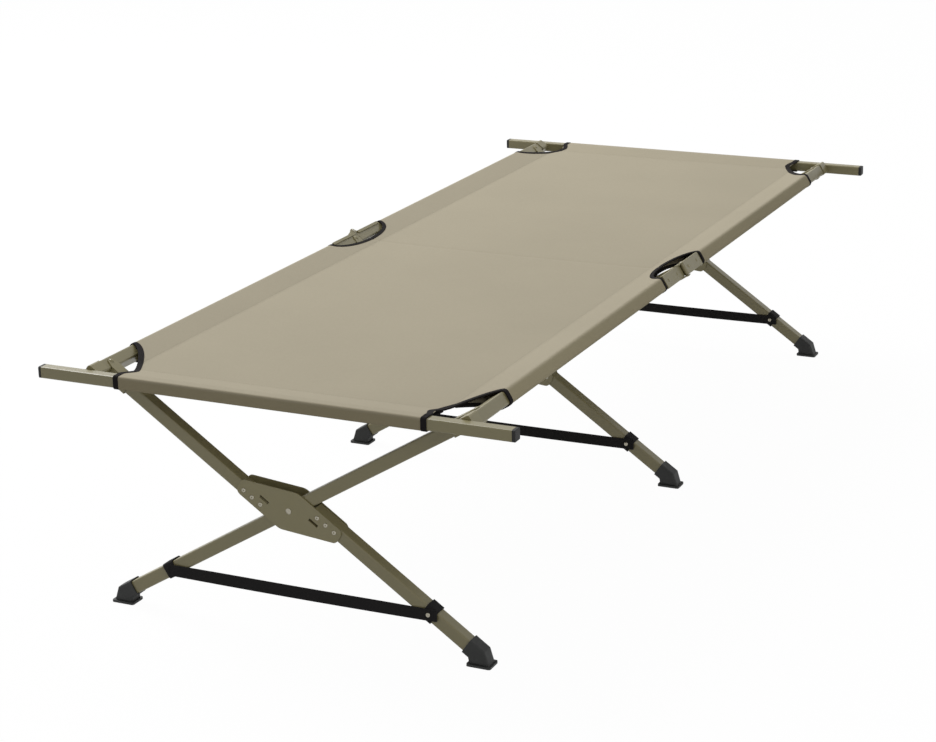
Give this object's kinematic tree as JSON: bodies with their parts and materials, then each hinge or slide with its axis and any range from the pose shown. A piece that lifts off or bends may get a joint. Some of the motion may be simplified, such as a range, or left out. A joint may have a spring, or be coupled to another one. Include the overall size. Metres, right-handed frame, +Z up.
{
  "type": "camping cot",
  "caption": "Folding camp bed: jointed side rails on scissor legs, end bars that hold the rails apart, a fabric bed sewn round the frame, straps across the legs and rubber feet.",
  "frame": {"origin": "bottom centre of the whole cot, on the floor, under the middle of the bed", "axes": "+Z up; Y runs along the cot, foot end at -Y; X across it. The end with the bare bar in front in the picture is -Y"},
  "size_m": [0.9652, 2.153, 0.4981],
  "materials": {
    "tube_paint": "satin olive-taupe powder coat",
    "bracket_paint": "satin olive-taupe powder coat on folded steel sheet",
    "rivet_steel": "bare bright rivet heads",
    "boot": "matt black rubber",
    "cap": "black moulded plastic",
    "bed_fabric": "khaki woven polyester",
    "webbing": "black woven webbing"
  },
  "bodies": {
    "left_near": {"rail_left_near": "tube_paint", "rail_end_left_near": "bracket_paint", "hinge_leaf_left_near": "bracket_paint", "hinge_pin_left": "rivet_steel", "leg_bracket_left_near": "bracket_paint", "leg_a_upper_near": "tube_paint", "leg_a_lower_near": "tube_paint", "plate_front_near": "bracket_paint", "plate_rear_near": "bracket_paint", "pivot_rivet_near": "rivet_steel", "foot_a_near": "boot", "strap_near": "webbing", "leg_bracket_left_mid": "bracket_paint", "leg_a_upper_mid": "tube_paint", "leg_a_lower_mid": "tube_paint", "plate_front_mid": "bracket_paint", "plate_rear_mid": "bracket_paint", "pivot_rivet_mid": "rivet_steel", "foot_a_mid": "boot", "strap_mid": "webbing", "sleeve_left_near": "bed_fabric", "bed_panel_near": "bed_fabric"},
    "right_near": {"rail_right_near": "tube_paint", "rail_end_right_near": "bracket_paint", "hinge_leaf_right_near": "bracket_paint", "leg_bracket_right_near": "bracket_paint", "leg_b_near": "tube_paint", "foot_b_near": "boot", "leg_bracket_right_mid": "bracket_paint", "leg_b_mid": "tube_paint", "foot_b_mid": "boot", "sleeve_right_near": "bed_fabric"},
    "left_far": {"rail_left_far": "tube_paint", "rail_end_left_far": "bracket_paint", "hinge_leaf_left_far": "bracket_paint", "leg_bracket_left_far": "bracket_paint", "leg_a_upper_far": "tube_paint", "leg_a_lower_far": "tube_paint", "plate_front_far": "bracket_paint", "plate_rear_far": "bracket_paint", "pivot_rivet_far": "rivet_steel", "foot_a_far": "boot", "strap_far": "webbing", "sleeve_left_far": "bed_fabric", "bed_panel_far": "bed_fabric"},
    "right_far": {"rail_right_far": "tube_paint", "rail_end_right_far": "bracket_paint", "hinge_leaf_right_far": "bracket_paint", "leg_bracket_right_far": "bracket_paint", "leg_b_far": "tube_paint", "foot_b_far": "boot", "sleeve_right_far": "bed_fabric"},
    "foot_bar": {"end_bar_foot": "tube_paint", "cap_foot_left": "cap", "cap_foot_right": "cap", "end_sleeve_foot": "bed_fabric"},
    "head_bar": {"end_bar_head": "tube_paint", "cap_head_left": "cap", "cap_head_right": "cap", "end_sleeve_head": "bed_fabric"}
  },
  "joints": [
    {"name": "scissor_near", "type": "hinge", "parent": "left_near", "child": "right_near", "pos_m": [0, -0.995, 0.2438], "axis": [0, -1, 0], "range_deg": [0, 110], "deforming": ["bed_panel_near", "strap_near", "strap_mid"]},
    {"name": "half_fold", "type": "hinge", "parent": "left_near", "child": "left_far", "pos_m": [-0.3962, 0, 0.48255], "axis": [0.5702, 0, 0.8215], "range_deg": [0, 160]},
    {"name": "scissor_far", "type": "hinge", "parent": "left_far", "child": "right_far", "pos_m": [0, 0.995, 0.2438], "axis": [0, -1, 0], "range_deg": [0, 110], "deforming": ["bed_panel_far", "strap_far"]},
    {"name": "foot_bar_swing", "type": "hinge", "parent": "left_near", "child": "foot_bar", "pos_m": [-0.381, -1.064, 0.472], "axis": [0, 1, 0], "range_deg": [0, 34.77]},
    {"name": "head_bar_swing", "type": "hinge", "parent": "left_far", "child": "head_bar", "pos_m": [-0.381, 1.064, 0.472], "axis": [0, 1, 0], "range_deg": [0, 34.77]}
  ],
  "couplings": [
    {"joint": "scissor_far", "follows": "scissor_near", "ratio": 1},
    {"joint": "foot_bar_swing", "follows": "scissor_near", "ratio": 0.31606},
    {"joint": "head_bar_swing", "follows": "scissor_near", "ratio": 0.31606}
  ]
}
